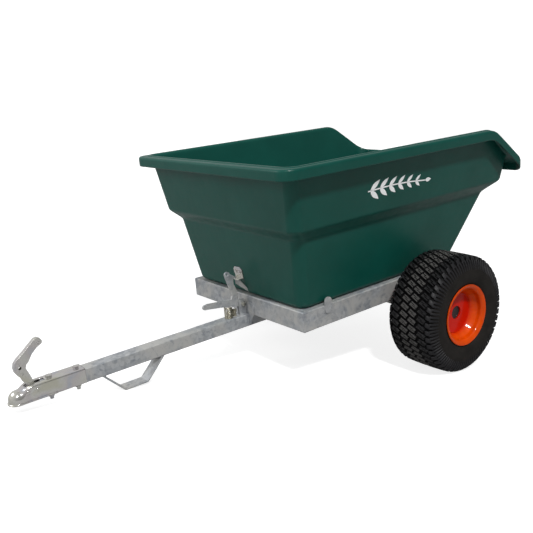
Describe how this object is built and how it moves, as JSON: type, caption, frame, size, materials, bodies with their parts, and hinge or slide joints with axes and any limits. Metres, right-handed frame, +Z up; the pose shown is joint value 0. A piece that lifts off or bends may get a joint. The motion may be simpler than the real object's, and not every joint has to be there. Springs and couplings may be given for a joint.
{
  "type": "tow behind cart",
  "caption": "Two-wheeled garden tow cart with a moulded tipping tub, galvanised chassis, spring latch and ball coupling.",
  "frame": {"origin": "on the ground under the middle of the cart's box, with the cart unhitched and standing on its two wheels and its parking skid", "axes": "+X horizontal, towards the hitch; +Y to the left of the cart, along the axle; +Z up. The chassis leans nose-down by 7.36 degrees about Y."},
  "size_m": [2.0302, 1.216, 0.9248],
  "materials": {
    "tub_plastic": "moulded polyethylene, dark green, slightly grained",
    "galvanised": "hot-dip galvanised, mottled spangle",
    "bright_zinc": "bright zinc plate",
    "yellow_zinc": "yellow zinc plate",
    "wheel_paint": "gloss orange paint",
    "tyre": "black rubber, turf tread",
    "black_plastic": "black moulded plastic",
    "bearing_steel": "ground bearing steel"
  },
  "bodies": {
    "chassis": {"front_member": "galvanised", "side_rail_left": "galvanised", "side_rail_right": "galvanised", "middle_cross_member": "galvanised", "rear_cross_member": "galvanised", "drawbar": "galvanised", "parking_skid": "galvanised", "axle_beam": "galvanised", "axle_bracket_left": "galvanised", "axle_bracket_right": "galvanised", "guide_tabs": "galvanised", "drawbar_gussets": "galvanised", "hinge_lugs": "galvanised", "hinge_shaft": "galvanised", "hinge_washers": "bright_zinc", "hinge_split_pins": "bright_zinc", "latch_cheeks": "galvanised", "latch_pivot_bolt": "bright_zinc", "latch_pivot_nut": "bright_zinc", "latch_spring": "yellow_zinc", "latch_stop_bolt": "yellow_zinc", "coupling_body": "bright_zinc", "coupling_bolts": "bright_zinc", "coupling_washers": "bright_zinc", "coupling_nuts": "bright_zinc", "handle_pin": "bright_zinc", "clamp_pin": "bright_zinc", "spindle_left": "galvanised", "spindle_washer_left": "bright_zinc", "spindle_nut_left": "bright_zinc", "spindle_pin_left": "bright_zinc", "spindle_right": "galvanised", "spindle_washer_right": "bright_zinc", "spindle_nut_right": "bright_zinc", "spindle_pin_right": "bright_zinc"},
    "tub": {"tub_shell": "tub_plastic", "hinge_bracket_left": "galvanised", "hinge_bracket_right": "galvanised", "hinge_bolts": "bright_zinc", "hinge_nuts": "bright_zinc", "tub_catch": "bright_zinc", "catch_brace": "galvanised", "catch_bolts": "bright_zinc", "catch_nuts": "bright_zinc"},
    "latch": {"latch_lever": "galvanised"},
    "handle": {"coupling_handle": "bright_zinc"},
    "clamp": {"ball_clamp": "bright_zinc"},
    "wheel_left": {"tyre_left": "tyre", "rim_left": "wheel_paint", "hub_left": "wheel_paint", "bearings_left": "bearing_steel", "dust_cap_left": "black_plastic", "valve_left": "black_plastic"},
    "wheel_right": {"tyre_right": "tyre", "rim_right": "wheel_paint", "hub_right": "wheel_paint", "bearings_right": "bearing_steel", "dust_cap_right": "black_plastic", "valve_right": "black_plastic"}
  },
  "joints": [
    {"name": "tub_tip", "type": "hinge", "parent": "chassis", "child": "tub", "pos_m": [-0.59531, 0, 0.33475], "axis": [0, -1, 0], "range_deg": [0, 70]},
    {"name": "latch_release", "type": "hinge", "parent": "chassis", "child": "latch", "pos_m": [0.10199, 0, 0.23763], "axis": [0, 1, 0], "range_deg": [0, 13], "stiffness_Nm_per_rad": 25, "springref_deg": -6.88, "deforming": ["latch_spring"]},
    {"name": "coupling_handle_swing", "type": "hinge", "parent": "chassis", "child": "handle", "pos_m": [0.9279, 0, 0.0745], "axis": [0, -1, 0], "range_deg": [0, 60]},
    {"name": "ball_clamp_swing", "type": "hinge", "parent": "chassis", "child": "clamp", "pos_m": [0.9574, 0, 0.06868], "axis": [0, -1, 0], "range_deg": [0, 7]},
    {"name": "wheel_left_spin", "type": "hinge", "parent": "chassis", "child": "wheel_left", "pos_m": [-0.51822, 0.5, 0.229], "axis": [0, 1, 0], "continuous": true},
    {"name": "wheel_right_spin", "type": "hinge", "parent": "chassis", "child": "wheel_right", "pos_m": [-0.51822, -0.5, 0.229], "axis": [0, 1, 0], "continuous": true}
  ],
  "couplings": [
    {"joint": "ball_clamp_swing", "follows": "coupling_handle_swing", "ratio": 0.1}
  ]
}
